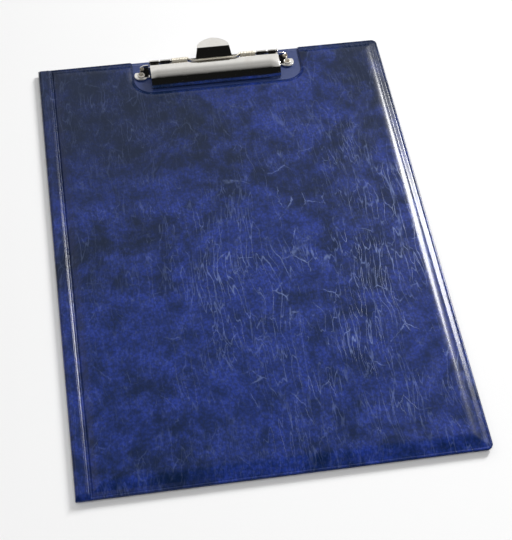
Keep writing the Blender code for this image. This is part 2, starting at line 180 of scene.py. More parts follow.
def startGroup(name, inputs, outputs):
    tree = bpy.data.node_groups.new(name, "ShaderNodeTree")
    for label, default in inputs.items():
        kind = "NodeSocketVector" if default is None else "NodeSocketFloat"
        socket = tree.interface.new_socket(label, in_out="INPUT", socket_type=kind)
        if default is not None:
            socket.default_value = default
    for label in outputs:
        tree.interface.new_socket(label, in_out="OUTPUT", socket_type="NodeSocketFloat")
    return tree, addNode(tree, "NodeGroupInput"), addNode(tree, "NodeGroupOutput")


def placeGroup(tree, group, **inputs):
    return addNode(tree, "ShaderNodeGroup", {"node_tree": group}, **inputs)


# shared effects

def makeMarbleGroup():
    tree, given, result = startGroup(
        "marbledClouds",
        {"Place": None, "Patch Scale": 12.0, "Mottle Scale": 60.0, "Mottle Amount": 0.3},
        ["Cloud", "Mottle"])
    warp = noiseNode(tree, given.outputs["Place"], 16.0, 2.0)
    shift = vectorNode(tree, "MULTIPLY_ADD", i0=warp.outputs["Color"], i1=(0.03, 0.03, 0.03),
                       i2=given.outputs["Place"])
    patches = noiseNode(tree, shift, given.outputs["Patch Scale"], 3.0, 0.5)
    mottle = noiseNode(tree, shift, given.outputs["Mottle Scale"], 4.0, 0.6)
    centred = mathNode(tree, "SUBTRACT", mottle.outputs[0], 0.5)
    lifted = multiply(tree, centred, given.outputs["Mottle Amount"])
    summed = mathNode(tree, "ADD", patches.outputs[0], lifted)
    tree.links.new(rampNode(tree, summed, 0.3, 0.66), result.inputs["Cloud"])
    tree.links.new(rampNode(tree, mottle.outputs[0], 0.3, 0.7), result.inputs["Mottle"])
    return tree


# each set of creases: turn, stretch along the crease, spacing, patch size, offset
creaseSets = [
    (0.12, 0.10, 1.0, 15.0, 0.0),
    (-0.42, 0.13, 1.1, 19.0, 3.0),
    (0.62, 0.12, 0.95, 17.0, 7.0),
    (1.30, 0.09, 0.8, 21.0, 11.0),
]


def makeCreaseLines(tree, place, spacing, width, turn, stretch, offset):
    turned = addNode(tree, "ShaderNodeMapping", vector=place, location=(offset, offset, 0),
                     rotation=(0, 0, turn), scale=(1.0, stretch, 1.0))
    field = noiseNode(tree, turned.outputs[0], spacing, 1.0, 0.45)
    away = mathNode(tree, "ABSOLUTE", mathNode(tree, "SUBTRACT", field.outputs[0], 0.5))
    return invert(tree, rampNode(tree, away, 0.0, width))


def makeVeinGroup():
    tree, given, result = startGroup(
        "hairlineVeins",
        {"Place": None, "Vein Scale": 250.0, "Wander": 0.01, "Width": 0.05, "Coverage": 0.5},
        ["Veins", "Strands"])
    place = given.outputs["Place"]
    slow = noiseNode(tree, place, 14.0, 1.0, 0.5)
    quick = noiseNode(tree, place, 260.0, 2.0, 0.6)
    wobble = vectorNode(tree, "MULTIPLY_ADD", i0=quick.outputs["Color"], i1=(0.07, 0.07, 0.0),
                        i2=slow.outputs["Color"])
    scaled = vectorNode(tree, "SCALE", i0=wobble, scale=given.outputs["Wander"])
    bent = vectorNode(tree, "ADD", i0=scaled, i1=place)
    less = mathNode(tree, "SUBTRACT", 1.0, given.outputs["Coverage"])
    more = mathNode(tree, "ADD", less, 0.2)
    width = given.outputs["Width"]
    strong = None
    faint = None
    for turn, stretch, share, patchScale, offset in creaseSets:
        spacing = multiply(tree, given.outputs["Vein Scale"], share)
        line = makeCreaseLines(tree, bent, spacing, width, turn, stretch, offset)
        moved = vectorNode(tree, "ADD", i0=place, i1=(offset, offset, 0))
        patch = noiseNode(tree, moved, patchScale, 5.0, 0.65)
        shown = multiply(tree, line, rampNode(tree, patch.outputs[0], less, more))
        strong = shown if strong is None else mathNode(tree, "MAXIMUM", strong, shown)
        finer = multiply(tree, spacing, 2.1)
        thin = makeCreaseLines(tree, bent, finer, width, turn + 0.9, stretch * 1.6, offset + 5.0)
        faint = thin if faint is None else mathNode(tree, "ADD", faint, thin)
    # long cracks that fork and join
    tear = noiseNode(tree, place, 90.0, 4.0, 0.65)
    torn = vectorNode(tree, "MULTIPLY_ADD", i0=tear.outputs["Color"], i1=(0.007, 0.007, 0.0), i2=bent)
    longer = addNode(tree, "ShaderNodeMapping", vector=torn, rotation=(0, 0, 0.15), scale=(1.0, 0.5, 1.0))
    cells = addNode(tree, "ShaderNodeTexVoronoi", {"feature": "DISTANCE_TO_EDGE"},
                    vector=longer.outputs[0], scale=75.0)
    crack = invert(tree, rampNode(tree, cells.outputs["Distance"], 0.0, 0.02))
    broken = noiseNode(tree, place, 60.0, 4.0, 0.65)
    crack = multiply(tree, crack, rampNode(tree, broken.outputs[0], 0.48, 0.66))
    tree.links.new(mathNode(tree, "MAXIMUM", strong, crack), result.inputs["Veins"])
    tree.links.new(mathNode(tree, "MULTIPLY", faint, 0.5, True), result.inputs["Strands"])
    return tree


def makeGrainGroup():
    tree, given, result = startGroup(
        "leatherGrain", {"Place": None, "Grain Scale": 900.0, "Ripple Scale": 120.0},
        ["Height", "Pores"])
    place = given.outputs["Place"]
    cells = addNode(tree, "ShaderNodeTexVoronoi", {"feature": "SMOOTH_F1"},
                    vector=place, scale=given.outputs["Grain Scale"], smoothness=0.6)
    ripples = noiseNode(tree, place, given.outputs["Ripple Scale"], 4.0, 0.6)
    height = mathNode(tree, "ADD", multiply(tree, cells.outputs["Distance"], 0.35),
                      ripples.outputs[0])
    tree.links.new(height, result.inputs["Height"])
    tree.links.new(rampNode(tree, cells.outputs["Distance"], 0.2, 0.75), result.inputs["Pores"])
    return tree


def makeHandlingGroup():
    tree, given, result = startGroup(
        "handlingMarks", {"Place": None, "Smudge Scale": 60.0, "Scratch Scale": 900.0},
        ["Smudge", "Scratch", "Height"])
    place = given.outputs["Place"]
    smudge = noiseNode(tree, place, given.outputs["Smudge Scale"], 4.0, 0.6, 0.5)
    tree.links.new(rampNode(tree, smudge.outputs[0], 0.4, 0.7), result.inputs["Smudge"])
    scratches = []
    for turn, stretch in ((0.5, (1.0, 0.02, 0.3)), (-0.35, (0.03, 1.0, 0.3))):
        turned = addNode(tree, "ShaderNodeMapping", vector=place, rotation=(0, 0, turn),
                         scale=stretch)
        streak = noiseNode(tree, turned.outputs[0], given.outputs["Scratch Scale"], 2.0, 0.5)
        scratches.append(rampNode(tree, streak.outputs[0], 0.66, 0.72))
    both = mathNode(tree, "MAXIMUM", scratches[0], scratches[1])
    tree.links.new(both, result.inputs["Scratch"])
    waves = noiseNode(tree, place, 45.0, 2.0, 0.5)
    dents = multiply(tree, both, 0.02)
    tree.links.new(mathNode(tree, "SUBTRACT", waves.outputs[0], dents), result.inputs["Height"])
    return tree


marbleGroup = makeMarbleGroup()
veinGroup = makeVeinGroup()
grainGroup = makeGrainGroup()
handlingGroup = makeHandlingGroup()
print("shared effects ready")


# materials

def startMaterial(name):
    material = bpy.data.materials.new(name)
    material.use_nodes = True
    tree = material.node_tree
    return material, tree, tree.nodes["Principled BSDF"]


# where the film lay when it was flat, so that the pattern stays with it as it folds
def restPlace(tree):
    return addNode(tree, "ShaderNodeAttribute", {"attribute_name": "spread"}).outputs["Vector"]


# fades from one amount near a centre to another away from it
def distanceMask(tree, place, centre, reach, near, far):
    return rampNode(tree, vectorNode(tree, "DISTANCE", i0=place, i1=centre), *reach, near, far)


def finishSurface(tree, shader, base, wear, height, values):
    tree.links.new(base, shader.inputs["Base Color"])
    tree.links.new(spanNode(tree, wear, *values["roughness"]), shader.inputs["Roughness"])
    bump = addNode(tree, "ShaderNodeBump", strength=values["bump"], distance=values["bumpDistance"],
                   height=height)
    tree.links.new(bump.outputs["Normal"], shader.inputs["Normal"])


filmValues = {
    "clouds": {"patchScale": 12.0, "mottleScale": 70.0, "mottleAmount": 0.5},
    "veins": {"veinScale": 230.0, "wander": 0.016, "width": 0.018, "coverage": 0.53},
    "grain": {"grainScale": 620.0, "rippleScale": 300.0},
    "marks": {"smudgeScale": 30.0, "scratchScale": 700.0},
    "deep": (0.003, 0.010, 0.032),
    "mid": (0.008, 0.021, 0.112),
    "bright": (0.016, 0.036, 0.238),
    # light colour of the veins, partly their own colour and partly painted glints of the key light
    "vein": (0.24, 0.32, 0.62),
    "cloudStrength": 0.9,
    "veinAndGlintStrength": 0.5,
    "strandStrength": 0.12,
    "speckle": 0.5,
    # painted sheen: lighter film, with brighter veins, round a spot on the right-hand side where the key
    # light falls
    "sheenCentre": (0.18, -0.03, 0.0),
    "sheenReach": (0.04, 0.15),
    "sheenAway": 0.22,
    "sheenLift": 0.3,
    "shadeCentre": (0.035, 0.115, 0.0),
    "shadeReach": (0.02, 0.11),
    "shadeAmount": 0.8,
    "roughness": (0.22, 0.34),
    "bump": 0.3,
    "bumpDistance": 0.4 * mm,
    "grainRelief": 0.3,
    "veinRelief": 0.3,
    "coat": 0.33,
    "coatRoughness": 0.13,
    "specular": 0.1,
}


def makeMarbledFilm(values):
    material, tree, shader = startMaterial("marbledFilm")
    place = restPlace(tree)
    clouds = placeGroup(tree, marbleGroup, place=place, **values["clouds"])
    veins = placeGroup(tree, veinGroup, place=place, **values["veins"])
    grain = placeGroup(tree, grainGroup, place=place, **values["grain"])
    marks = placeGroup(tree, handlingGroup, place=place, **values["marks"])
    mottle = clouds.outputs["Mottle"]
    # painted sheen mask: strongest round the lit spot on the right-hand side, weaker further off
    paintedSheen = distanceMask(tree, place, values["sheenCentre"], values["sheenReach"], 1.0, values["sheenAway"])
    unshaded = distanceMask(tree, place, values["shadeCentre"], values["shadeReach"],
                            1 - values["shadeAmount"], 1.0)
    # painted sheen: lifts the clouds towards the lighter colours near the lit spot
    lift = multiply(tree, paintedSheen, values["sheenLift"])
    cloud = multiply(tree, clouds.outputs["Cloud"], values["cloudStrength"])
    cloud = multiply(tree, mathNode(tree, "ADD", cloud, lift, True), unshaded)
    base = mixColor(tree, cloud, values["deep"], values["mid"])
    base = mixColor(tree, multiply(tree, mottle, cloud), base, values["bright"])
    speckle = multiply(tree, grain.outputs["Pores"], values["speckle"])
    base = mixColor(tree, speckle, base, values["deep"])
    strands = multiply(tree, veins.outputs["Strands"], mottle)
    strands = multiply(tree, strands, values["strandStrength"])
    base = mixColor(tree, strands, base, values["vein"])
    # veins shown most where the painted sheen is: partly real veins, partly painted glints along the
    # creases
    veinsAndGlints = multiply(tree, veins.outputs["Veins"], paintedSheen)
    veinsAndGlints = multiply(tree, veinsAndGlints, values["veinAndGlintStrength"])
    base = mixColor(tree, veinsAndGlints, base, values["vein"])
    uneven = mathNode(tree, "ADD", multiply(tree, mottle, 0.5),
                      multiply(tree, marks.outputs["Smudge"], 0.5))
    relief = mathNode(tree, "ADD",
                      multiply(tree, grain.outputs["Height"], values["grainRelief"]),
                      multiply(tree, veins.outputs["Veins"], values["veinRelief"]))
    finishSurface(tree, shader, base, uneven, relief, values)
    shader.inputs["Coat Weight"].default_value = values["coat"]
    shader.inputs["Coat Roughness"].default_value = values["coatRoughness"]
    shader.inputs["Specular IOR Level"].default_value = values["specular"]
    return material


liningValues = {
    "grain": {"grainScale": 1800.0, "rippleScale": 90.0},
    "marks": {"smudgeScale": 25.0, "scratchScale": 500.0},
    "dark": (0.015, 0.03, 0.105),
    "light": (0.026, 0.047, 0.165),
    "smudge": 0.35,
    "roughness": (0.3, 0.42),
    "bump": 0.12,
    "bumpDistance": 0.3 * mm,
}


def makeLining(values):
    material, tree, shader = startMaterial("plainLining")
    place = restPlace(tree)
    grain = placeGroup(tree, grainGroup, place=place, **values["grain"])
    marks = placeGroup(tree, handlingGroup, place=place, **values["marks"])
    smudge = marks.outputs["Smudge"]
    base = mixColor(tree, grain.outputs["Pores"], values["dark"], values["light"])
    base = mixColor(tree, multiply(tree, smudge, values["smudge"]), base, values["light"])
    finishSurface(tree, shader, base, smudge, grain.outputs["Height"], values)
    return material


metalValues = {
    "nickelPlate": {"tint": (0.86, 0.84, 0.80), "tarnish": (0.80, 0.77, 0.72), "metallic": 1.0,
                    "smudgeScale": 90.0, "roughness": (0.08, 0.18), "bump": 0.04},
    "rivetNickel": {"tint": (0.88, 0.84, 0.76), "tarnish": (0.76, 0.69, 0.58), "metallic": 0.45,
                    "smudgeScale": 300.0, "roughness": (0.28, 0.42), "bump": 0.08},
    "springWire": {"tint": (0.86, 0.81, 0.69), "tarnish": (0.72, 0.65, 0.52), "metallic": 0.5,
                   "smudgeScale": 400.0, "roughness": (0.36, 0.5), "bump": 0.08},
}
metalShared = {"scratchScale": 1500.0, "smudge": 0.6, "scratch": 0.4, "bumpDistance": 0.4 * mm}


def makePlatedMetal(name):
    values = {**metalShared, **metalValues[name]}
    material, tree, shader = startMaterial(name)
    place = addNode(tree, "ShaderNodeTexCoord").outputs["Object"]
    marks = placeGroup(tree, handlingGroup, place=place, smudgeScale=values["smudgeScale"],
                       scratchScale=values["scratchScale"])
    smudge = multiply(tree, marks.outputs["Smudge"], values["smudge"])
    scratch = multiply(tree, marks.outputs["Scratch"], values["scratch"])
    base = mixColor(tree, smudge, values["tint"], values["tarnish"])
    finishSurface(tree, shader, base, mathNode(tree, "ADD", smudge, scratch),
                  marks.outputs["Height"], values)
    shader.inputs["Metallic"].default_value = values["metallic"]
    return material


greyBoardValues = {"dark": (0.24, 0.225, 0.2), "light": (0.42, 0.4, 0.36), "fleckScale": 1800.0,
                   "roughness": 0.9, "bump": 0.3, "bumpDistance": 0.2 * mm}


def makeGreyBoard(values):
    material, tree, shader = startMaterial("greyBoard")
    place = addNode(tree, "ShaderNodeTexCoord").outputs["Object"]
    fibres = addNode(tree, "ShaderNodeMapping", vector=place, scale=(1.0, 0.25, 1.0))
    fleck = noiseNode(tree, fibres.outputs[0], values["fleckScale"], 4.0, 0.7).outputs[0]
    base = mixColor(tree, rampNode(tree, fleck, 0.35, 0.7), values["dark"], values["light"])
    tree.links.new(base, shader.inputs["Base Color"])
    bump = addNode(tree, "ShaderNodeBump", strength=values["bump"], distance=values["bumpDistance"],
                   height=fleck)
    tree.links.new(bump.outputs["Normal"], shader.inputs["Normal"])
    shader.inputs["Roughness"].default_value = values["roughness"]
    return material


marbledFilm = makeMarbledFilm(filmValues)
plainLining = makeLining(liningValues)
nickelPlate = makePlatedMetal("nickelPlate")
rivetNickel = makePlatedMetal("rivetNickel")
springWire = makePlatedMetal("springWire")
greyBoard = makeGreyBoard(greyBoardValues)
print("materials ready")


# mesh helpers

def addPiece(name, mesh, material):
    piece = bpy.data.objects.new(name, mesh)
    bpy.context.collection.objects.link(piece)
    mesh.materials.clear()
    mesh.materials.append(material)
    return piece


def meshFrom(bm, name):
    mesh = bpy.data.meshes.new(name)
    bm.to_mesh(mesh)
    bm.free()
    return mesh


# quads between two rows of points, or between two closed rings
def joinRows(bm, first, second, closed=False):
    count = len(first)
    for i in range(count if closed else count - 1):
        j = (i + 1) % count
        bm.faces.new((first[i], first[j], second[j], second[i]))


def joinRings(bm, rings):
    for first, second in zip(rings, rings[1:]):
        joinRows(bm, first, second, True)


def middleFace(bm):
    near = [face for face in bm.faces if abs(face.calc_center_median().x) < 50 * mm]
    return max(near, key=lambda face: abs(face.normal.z))


def largestFace(bm):
    return max(bm.faces, key=lambda face: face.calc_area())


# makes the normals agree, then turns them all so that the chosen face looks along zSign
def faceAlong(bm, chooseFace, zSign=1):
    bmesh.ops.recalc_face_normals(bm, faces=bm.faces[:])
    if chooseFace(bm).normal.z * zSign < 0:
        bmesh.ops.reverse_faces(bm, faces=bm.faces[:])


def circlePoints(radius, count):
    angles = [2 * math.pi * k / count for k in range(count)]
    return [(radius * math.cos(a), radius * math.sin(a)) for a in angles]


def bakeModifiers(piece):
    bpy.context.view_layer.update()
    graph = bpy.context.evaluated_depsgraph_get()
    mesh = bpy.data.meshes.new_from_object(piece.evaluated_get(graph))
    piece.modifiers.clear()
    piece.data = mesh


def smoothShade(piece, angle=35):
    piece.data.shade_smooth()
    piece.data.set_sharp_from_angle(angle=math.radians(angle))


def closedPiece(bm, name, material, angle):
    bmesh.ops.recalc_face_normals(bm, faces=bm.faces[:])
    piece = addPiece(name, meshFrom(bm, name), material)
    smoothShade(piece, angle)
    return piece


def thicken(piece, thickness, offset, rimRadius=0.0):
    solid = piece.modifiers.new("thickness", "SOLIDIFY")
    solid.thickness = thickness
    solid.offset = offset
    solid.use_even_offset = True
    solid.use_quality_normals = True
    if rimRadius:
        soft = piece.modifiers.new("rim", "BEVEL")
        soft.width = rimRadius
        soft.segments = 2
        soft.limit_method = "ANGLE"
        soft.angle_limit = math.radians(50)
    bakeModifiers(piece)


def cutRivetHoles(piece, radius, segments=48):
    bm = bmesh.new()
    for x in rivetXs:
        bmesh.ops.create_cone(bm, cap_ends=True, segments=segments, radius1=radius, radius2=radius,
                              depth=8 * foldRadius, matrix=Matrix.Translation((x, rivetY, 0)))
    cutter = bpy.data.objects.new("holeCutter", meshFrom(bm, "holeCutter"))
    bpy.context.collection.objects.link(cutter)
    hole = piece.modifiers.new("holes", "BOOLEAN")
    hole.operation = "DIFFERENCE"
    hole.object = cutter
    bakeModifiers(piece)
    bpy.data.objects.remove(cutter)


def arcPoints(cx, cy, radius, start, end, steps=12):
    angles = [math.radians(start + (end - start) * i / steps) for i in range(steps + 1)]
    return [(cx + radius * math.cos(a), cy + radius * math.sin(a)) for a in angles]


# a path with each inner corner rounded to its own radius
def filletPath(points, radii, stepDegrees=11):
    result = [Vector(points[0])]
    for i in range(1, len(points) - 1):
        corner = Vector(points[i])
        before = (Vector(points[i - 1]) - corner).normalized()
        after = (Vector(points[i + 1]) - corner).normalized()
        turn = math.pi - before.angle(after)
        if not radii[i - 1] or turn < 0.02:
            result.append(corner)
            continue
        reach = radii[i - 1] * math.tan(turn / 2)
        centre = corner + (before + after).normalized() * (radii[i - 1] / math.cos(turn / 2))
        first = corner + before * reach - centre
        last = corner + after * reach - centre
        steps = max(2, round(math.degrees(turn) / stepDegrees))
        for k in range(steps + 1):
            t = k / steps
            blend = (first * math.sin((1 - t) * turn) + last * math.sin(t * turn)) / math.sin(turn)
            result.append(centre + blend)
    result.append(Vector(points[-1]))
    return [tuple(p) for p in result]


# film covers

cover = {
    "film": 0.3 * mm,
    "flangeDepth": 1.85 * mm,
    "cornerRadius": 3.5 * mm,
    "sideFlange": 4.6 * mm,
    "endFlange": 3.6 * mm,
    "notchFlange": 1.1 * mm,
    "creaseAt": 8.9 * mm,
    "boardAt": 9.8 * mm,
    "shoulderRun": 7.0 * mm,
    "notchShoulderRun": 5.0 * mm,
    "notchGapLeft": 0.6 * mm,
    "notchGapRight": 4.2 * mm,
    "notchGapFront": 3.0 * mm,
    "notchRadius": 12.0 * mm,
    "notchLip": 1.5 * mm,
    "waviness": 0.09 * mm,
    "gridStep": 4.0 * mm,
    "pinchRun": 2.8 * mm,
    "endRound": 0.3 * mm,
    "bandWave": 0.03 * mm,
    "holeGap": 0.3 * mm,
}
rearSpread = 14 * mm    # keeps the rear's part of the pattern apart from the front's

# rows across the folder's length, closer together near its two ends
endRows = [0, 0.15, 0.4, 0.8, 1.3, 1.9, 2.6, 3.6, 5.5]


def rowPlaces():
    near = [bottomY + d * mm for d in endRows]
    far = [topY - d * mm for d in reversed(endRows)]
    count = 44
    between = [near[-1] + (far[0] - near[-1]) * i / count for i in range(1, count)]
    return near + between + far


rows = rowPlaces()


# the front or rear cover's edge, drawn in by the given insets, with room for the clip if notched
def coverOutline(left, side, end, notch=None):
    right = rightX - side
    bottom = bottomY + end
    top = topY - end
    radius = max(cover["cornerRadius"] - end * 0.6, 1.4 * mm)
    points = arcPoints(right - radius, bottom + radius, radius, -90, 0, 10)
    straight = 30
    points += [(right, bottom + radius + (top - bottom - 2 * radius) * i / straight)
               for i in range(1, straight)]
    points += arcPoints(right - radius, top - radius, radius, 0, 90, 10)
    if notch is not None:
        lip = cover["notchLip"]
        corner = cover["notchRadius"] + notch
        notchLeft = baseLow[0] - cover["notchGapLeft"] - notch
        notchRight = baseHigh[0] + cover["notchGapRight"] + notch
        notchFront = jawLow[1] - cover["notchGapFront"] - notch
        points += arcPoints(notchRight + lip, top - lip, lip, 90, 180, 6)
        points += arcPoints(notchRight - corner, notchFront + corner, corner, 0, -90, 16)
        points += [(notchRight - corner + (notchLeft - notchRight + 2 * corner) * i / 14, notchFront)
                   for i in range(1, 14)]
        points += arcPoints(notchLeft + corner, notchFront + corner, corner, -90, -180, 16)
        points += arcPoints(notchLeft - lip, top - lip, lip, 0, 90, 6)
    span = (top - bottom) / (topY - bottomY)
    points += [(left, bottom + (y - bottomY) * span) for y in reversed(rows)]
    return points


def waviness(x, y, amount):
    slow = noise.noise(Vector((x * 14, y * 11, 0.3)))
    quick = noise.noise(Vector((x * 38, y * 34, 5.1)))
    return amount * (slow + 0.35 * quick)


# (share of the flange, extra depth in mm): rounded outer edge, weld line, gutter by the board
flangeShape = [(0.0, 0.2), (0.03, 0.08), (0.08, 0.03), (0.16, -0.02), (0.24, -0.04), (0.29, 0.02),
               (0.33, 0.1), (0.37, 0.08), (0.42, 0.0), (0.5, -0.06), (0.6, -0.13), (0.7, -0.2),
               (0.8, -0.27), (0.9, -0.35), (1.0, -0.43)]
shoulderShape = [0.012, 0.03, 0.06, 0.1, 0.15, 0.21, 0.28, 0.36, 0.45, 0.56, 0.7, 0.85, 1.0]


def shoulderDepth(t):
    return (cover["flangeDepth"] + flangeShape[-1][1] * mm) * (1 - t) ** 2.2


# the outline at a share of the way up the slope from the flange to the flat panel
def shoulderOutline(t, notched):
    run = cover["shoulderRun"] * t
    notch = cover["notchFlange"] + cover["notchShoulderRun"] * t
    return coverOutline(leftX + cover["boardAt"] + run, cover["sideFlange"] + run,
                        cover["endFlange"] + run, notch if notched else None)


def filmLoops(notched):
    loops = []
    for share, extra in flangeShape:
        left = leftX + cover["creaseAt"] + (cover["boardAt"] - cover["creaseAt"]) * share
        outline = coverOutline(left, cover["sideFlange"] * share, cover["endFlange"] * share,
                               cover["notchFlange"] * share if notched else None)
        loops.append((outline, cover["flangeDepth"] + extra * mm))
    loops += [(shoulderOutline(t, notched), shoulderDepth(t)) for t in shoulderShape]
    return loops


def insideOutline(x, y, outline, clear):
    inside = False
    count = len(outline)
    for i in range(count):
        ax, ay = outline[i]
        bx, by = outline[(i + 1) % count]
        if (ay > y) != (by > y) and x < ax + (bx - ax) * (y - ay) / (by - ay):
            inside = not inside
        if abs(ax - x) < clear and abs(ay - y) < clear:
            return False
    return inside


# fills the innermost loop with a slightly wavy net of triangles
def fillPanel(bm, ring, outline, placeZ, step, amount):
    xs = [p[0] for p in outline]
    ys = [p[1] for p in outline]
    extra = []
    rowCount = int((max(ys) - min(ys)) / step)
    columnCount = int((max(xs) - min(xs)) / step)
    for r in range(1, rowCount):
        for c in range(1, columnCount):
            x = min(xs) + step * (c + 0.5 * (r % 2))
            y = min(ys) + step * r
            if insideOutline(x, y, outline, step * 0.55):
                extra.append((x, y))
    points = [Vector(p) for p in outline + extra]
    made, _, faces, origins, _, _ = delaunay_2d_cdt(points, [], [list(range(len(outline)))], 1, 1e-7)
    verts = []
    for point, origin in zip(made, origins):
        if origin and origin[0] < len(ring):
            verts.append(ring[origin[0]])
            continue
        fade = min(1.0, (min(point.x - min(xs), max(xs) - point.x, point.y - min(ys),
                             max(ys) - point.y)) / (12 * mm))
        depth = waviness(point.x, point.y, amount) * fade + amount
        verts.append(bm.verts.new((point.x, point.y, placeZ(max(0.0, depth)))))
    for face in faces:
        corners = [verts[i] for i in face]
        if len(set(corners)) > 2:
            bm.faces.new(corners)


# (distance from the folded edge, depth) in mm: crease, weld, ridge and the dished spine
bandShape = [(8.6, 1.84), (8.35, 1.72), (8.15, 1.42), (7.95, 1.02), (7.75, 0.76), (7.5, 0.68),
             (7.25, 0.62), (7.0, 0.40), (6.8, 0.14), (6.6, 0.02), (6.4, 0.0), (6.2, 0.06),
             (5.85, 0.17), (5.3, 0.23), (4.2, 0.24), (3.0, 0.15)]
foldStart = 5.5    # degrees past level where the round of the fold begins
foldSteps = 12


# the spine band from the crease to the folded edge; the round part holds its angle
def bandProfile():
    points = [(x * mm, d * mm, None) for x, d in bandShape]
    for i in range(foldSteps + 1):
        angle = math.radians(foldStart + (90 - foldStart) * i / foldSteps)
        points.append((foldRadius * (1 - math.sin(angle)), 0, angle))
    return points


bandHalf = bandProfile()
seamIndex = len(bandShape) + 1    # the row where the front skin meets the rear skin


# one point of the band, pinched to the flange's depth near the folder's two ends
def bandPoint(k, y):
    across, depth, angle = bandHalf[k]
    ends = min(y - bottomY, topY - y)
    pinch = max(0.0, 1 - ends / cover["pinchRun"]) ** 2.1
    if angle is None:
        depth = depth * (1 - pinch) + cover["flangeDepth"] * pinch
        if ends < cover["endRound"]:
            depth += (cover["endRound"] - ends) * 0.5
        wave = cover["bandWave"] * noise.noise(Vector((across * 300, y * 60, 2.0)))
        return leftX + across, depth + abs(wave) * (1 - pinch)
    radius = foldRadius - cover["flangeDepth"] * pinch
    return leftX + across, foldRadius - radius * math.cos(angle)


# the length of film between the crease and a row of the band
def bandSpread(k):
    total = 0.0
    last = (cover["creaseAt"], cover["flangeDepth"])
    for i in range(k + 1):
        across, depth, angle = bandHalf[i]
        if angle is not None:
            depth = foldRadius - foldRadius * math.cos(angle)
        total += math.hypot(across - last[0], depth - last[1])
        last = (across, depth)
    return total


# the surface direction at the seam, worked out from both sides of it
def seamNormal(i, zSign, placeZ):
    y = rows[i]
    before = bandPoint(seamIndex - 1, y)
    after = bandPoint(seamIndex + 1, y)
    along = Vector((before[0] - after[0], 0, placeZ(before[1]) - placeZ(after[1])))
    low = max(i - 1, 0)
    high = min(i + 1, len(rows) - 1)
    lowZ = placeZ(bandPoint(seamIndex, rows[low])[1])
    highZ = placeZ(bandPoint(seamIndex, rows[high])[1])
    lengthways = Vector((0, rows[high] - rows[low], highZ - lowZ))
    normal = along.cross(lengthways).normalized()
    return normal if normal.z * zSign > 0 else -normal


# one cover's outer film: flange, shoulder and panel, then the band up to the seam or round the fold
def buildCoverSkin(name, notched, placeZ, zSign, turnFold):
    bm = bmesh.new()
    spread = bm.verts.layers.float_vector.new("spread")
    outlines = filmLoops(notched)
    rings = [[bm.verts.new((x, y, placeZ(depth))) for x, y in outline] for outline, depth in outlines]
    joinRings(bm, rings)
    fillPanel(bm, rings[-1], outlines[-1][0], placeZ, cover["gridStep"], cover["waviness"])
    for vert in bm.verts:
        across = vert.co.x - leftX
        vert[spread] = (across if zSign > 0 else -across - rearSpread, vert.co.y, 0)
    stations = [(k, False) for k in range(len(bandHalf) if turnFold else seamIndex + 1)]
    if turnFold:
        stations += [(k, True) for k in range(len(bandHalf) - 2, seamIndex - 1, -1)]
    line = list(reversed(rings[0][-len(rows):]))
    for k, pastFold in stations:
        reach = cover["creaseAt"] - bandSpread(k)
        grown = []
        for y in rows:
            x, depth = bandPoint(k, y)
            z = placeZ(depth)
            vert = bm.verts.new((x, y, folderHigh - z if pastFold else z))
            vert[spread] = (reach if pastFold or zSign > 0 else -reach - rearSpread, y, 0)
            grown.append(vert)
        joinRows(bm, line, grown)
        line = grown
    faceAlong(bm, middleFace, zSign)
    piece = addPiece(name, meshFrom(bm, name), marbledFilm)
    thicken(piece, cover["film"], -1)
    return piece


# gives both skins the same surface direction at the seam, so that it doesn't show
def matchSeam(piece, zSign, placeZ):
    mesh = piece.data
    normals = [corner.vector.copy() for corner in mesh.corner_normals]
    wanted = {}
    for i, y in enumerate(rows):
        x, depth = bandPoint(seamIndex, y)
        wanted[(round(x, 7), round(y, 7), round(placeZ(depth), 7))] = seamNormal(i, zSign, placeZ)
    for polygon in mesh.polygons:
        for corner in polygon.loop_indices:
            place = mesh.vertices[mesh.loops[corner].vertex_index].co
            key = (round(place.x, 7), round(place.y, 7), round(place.z, 7))
            if key in wanted and polygon.normal.dot(wanted[key]) > 0.8:
                normals[corner] = wanted[key]
    mesh.normals_split_custom_set(normals)


def onFront(depth):
    return folderHigh - depth


def onRear(depth):
    return depth


frontSkin = buildCoverSkin("frontSkin", True, onFront, 1, False)
smoothShade(frontSkin, 45)
matchSeam(frontSkin, 1, onFront)
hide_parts("spine_outer_film", "front_outer_film")
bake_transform(frontSkin)

rearSkin = buildCoverSkin("rearSkin", False, onRear, -1, True)
headRadius = (rivetBoxes[0][1][0] - rivetBoxes[0][0][0]) / 2
cutRivetHoles(rearSkin, headRadius + cover["holeGap"])
smoothShade(rearSkin, 45)
matchSeam(rearSkin, 1, onFront)
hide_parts("rear_outer_film")
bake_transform(rearSkin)
print("outer film formed")

# lining films: plain sheets with a weld line near their edges

liningSizes = {"startFront": 11.0 * mm, "startRear": 2.4 * mm, "leftShare": 0.2, "notchShare": 0.5,
               "gridStep": 6 * mm, "waviness": 0.02 * mm, "foldStart": 1.6 * mm, "foldCentre": 1.0 * mm,
               "foldStretch": 1.6, "foldLap": 0.01 * mm}

# (inset, depth) in mm
liningShape = [(0.0, 0.12), (0.06, 0.03), (0.2, 0.0), (1.5, 0.0), (1.8, 0.05), (2.1, 0.09), (2.4, 0.05),
               (2.7, 0.0), (4.5, 0.0)]


